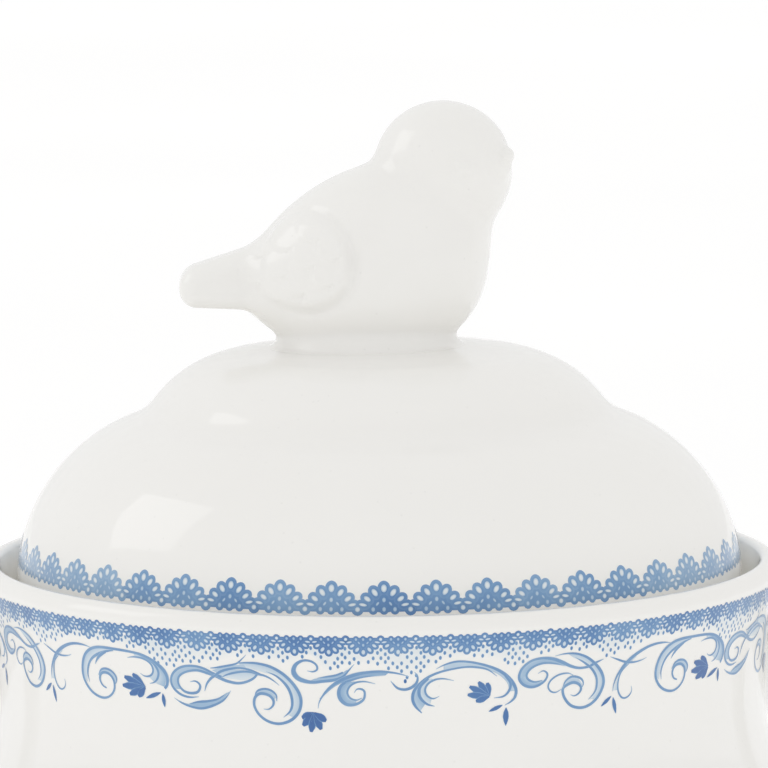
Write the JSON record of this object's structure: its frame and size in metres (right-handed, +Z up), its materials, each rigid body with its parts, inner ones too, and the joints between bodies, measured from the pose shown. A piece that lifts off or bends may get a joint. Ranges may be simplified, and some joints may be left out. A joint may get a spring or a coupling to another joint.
{
  "type": "covered sugar bowl",
  "caption": "Footed porcelain sugar bowl with loop handles, a seat inside the rim, and a lift-off domed lid with a bird for a knob.",
  "frame": {"origin": "centre of the foot ring, on the surface the bowl stands on", "axes": "+X towards the right handle and the bird's beak, +Z up, and +Y away from the side that faces the viewer"},
  "size_m": [0.1522, 0.115, 0.1395],
  "materials": {
    "porcelain": "clear glaze over white porcelain, with blue printed lace and scrolls under it"
  },
  "bodies": {
    "bowl": {"bowl_body": "porcelain", "handle_left": "porcelain", "handle_right": "porcelain"},
    "lid": {"lid": "porcelain", "bird_finial": "porcelain"}
  },
  "joints": [
    {"name": "lid_lift", "type": "slide", "parent": "bowl", "child": "lid", "axis": [0, 0, 1], "range_m": [0, 0.06]}
  ]
}
